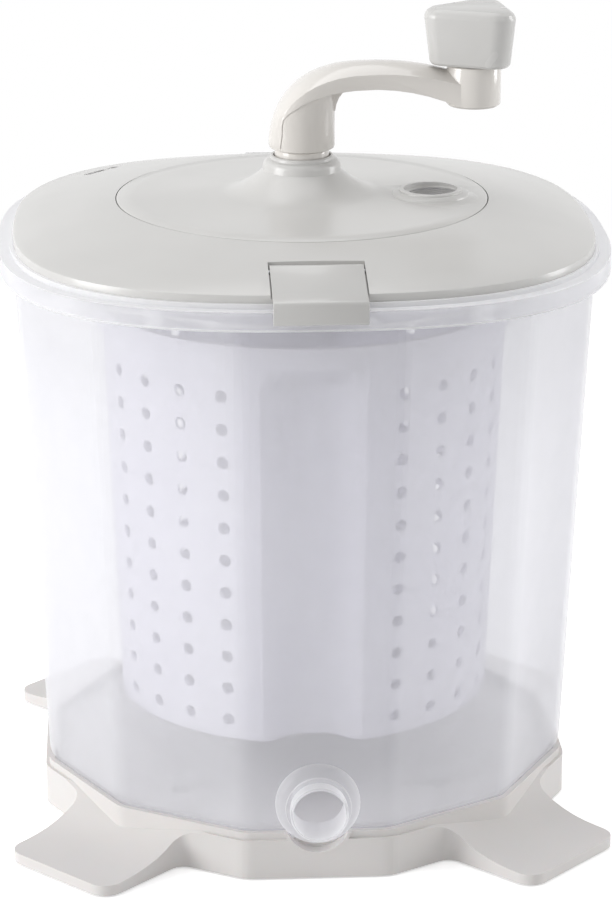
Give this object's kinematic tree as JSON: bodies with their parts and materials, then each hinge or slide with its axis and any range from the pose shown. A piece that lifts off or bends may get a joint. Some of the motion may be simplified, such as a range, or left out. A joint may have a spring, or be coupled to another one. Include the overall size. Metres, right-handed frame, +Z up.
{
  "type": "manual washing machine",
  "caption": "Hand-cranked tabletop washing machine: a perforated spinning basket in a frosted tub, with a latched cover, a geared crank lid and a low drain spout.",
  "frame": {"origin": "on the ground under the axis of the basket and crank", "axes": "+Z up along the basket's axis, front with the drain spout and a latch at -Y, the crank arm points to +X at rest"},
  "size_m": [0.345, 0.3512, 0.4615],
  "materials": {
    "base_plastic": "off-white satin polypropylene",
    "foot_rubber": "grey rubber",
    "steel": "stainless steel",
    "frosted_plastic": "frosted translucent polypropylene",
    "cover_plastic": "light grey satin plastic",
    "seal_rubber": "grey silicone rubber",
    "latch_plastic": "light grey plastic, soft gloss",
    "crank_plastic": "warm white plastic, soft gloss",
    "gear_plastic": "natural acetal",
    "knob_plastic": "cool light grey satin plastic",
    "basket_plastic": "white satin polypropylene"
  },
  "bodies": {
    "stand": {"base": "base_plastic", "foot_pads": "foot_rubber", "base_screws": "steel", "tub": "frosted_plastic", "spindle_pin": "steel", "thrust_washer": "steel", "cover": "cover_plastic", "cover_gasket": "seal_rubber", "latch_pins": "steel"},
    "front_latch": {"latch_front": "latch_plastic"},
    "rear_latch": {"latch_rear": "latch_plastic"},
    "hatch": {"hatch_lid": "cover_plastic", "hatch_gasket": "seal_rubber", "crank_bush": "crank_plastic", "gear_housing": "cover_plastic", "planet_pins": "steel", "housing_screws": "steel", "drive_bush": "gear_plastic"},
    "crank": {"crank_arm": "crank_plastic", "crank_shaft": "steel", "ring_gear": "gear_plastic", "ring_pin": "steel", "knob_pin": "steel"},
    "knob": {"crank_knob": "knob_plastic"},
    "planet_1": {"planet_gear_1": "gear_plastic"},
    "planet_2": {"planet_gear_2": "gear_plastic"},
    "planet_3": {"planet_gear_3": "gear_plastic"},
    "drive": {"sun_gear": "gear_plastic", "drive_shaft": "steel", "retaining_clip": "steel"},
    "spinner": {"basket": "basket_plastic", "centre_column": "basket_plastic", "hub_bush": "gear_plastic", "column_screws": "steel"}
  },
  "joints": [
    {"name": "front_latch_hinge", "type": "hinge", "parent": "stand", "child": "front_latch", "pos_m": [0, -0.133, 0.3448], "axis": [-1, 0, 0], "range_deg": [0, 98]},
    {"name": "rear_latch_hinge", "type": "hinge", "parent": "stand", "child": "rear_latch", "pos_m": [0, 0.133, 0.3448], "axis": [1, 0, 0], "range_deg": [0, 98]},
    {"name": "hatch_lift", "type": "slide", "parent": "stand", "child": "hatch", "axis": [0, 0, 1], "range_m": [0, 0.08]},
    {"name": "basket_spin", "type": "hinge", "parent": "stand", "child": "spinner", "pos_m": [0, 0, 0.065], "axis": [0, 0, 1], "continuous": true},
    {"name": "crank_turn", "type": "hinge", "parent": "hatch", "child": "crank", "pos_m": [0, 0, 0.365], "axis": [0, 0, 1], "continuous": true},
    {"name": "knob_spin", "type": "hinge", "parent": "crank", "child": "knob", "pos_m": [0.097, 0, 0.445], "axis": [0, 0, 1], "continuous": true},
    {"name": "planet_1_spin", "type": "hinge", "parent": "hatch", "child": "planet_1", "pos_m": [0.027, 0, 0.3342], "axis": [0, 0, 1], "continuous": true},
    {"name": "planet_2_spin", "type": "hinge", "parent": "hatch", "child": "planet_2", "pos_m": [-0.0135, 0.02338, 0.3342], "axis": [0, 0, 1], "continuous": true},
    {"name": "planet_3_spin", "type": "hinge", "parent": "hatch", "child": "planet_3", "pos_m": [-0.0135, -0.02338, 0.3342], "axis": [0, 0, 1], "continuous": true},
    {"name": "drive_spin", "type": "hinge", "parent": "hatch", "child": "drive", "pos_m": [0, 0, 0.32], "axis": [0, 0, 1], "continuous": true}
  ],
  "couplings": [
    {"joint": "crank_turn", "follows": "basket_spin", "ratio": -0.33333},
    {"joint": "drive_spin", "follows": "basket_spin", "ratio": 1},
    {"joint": "planet_1_spin", "follows": "basket_spin", "ratio": -1},
    {"joint": "planet_2_spin", "follows": "basket_spin", "ratio": -1},
    {"joint": "planet_3_spin", "follows": "basket_spin", "ratio": -1}
  ]
}
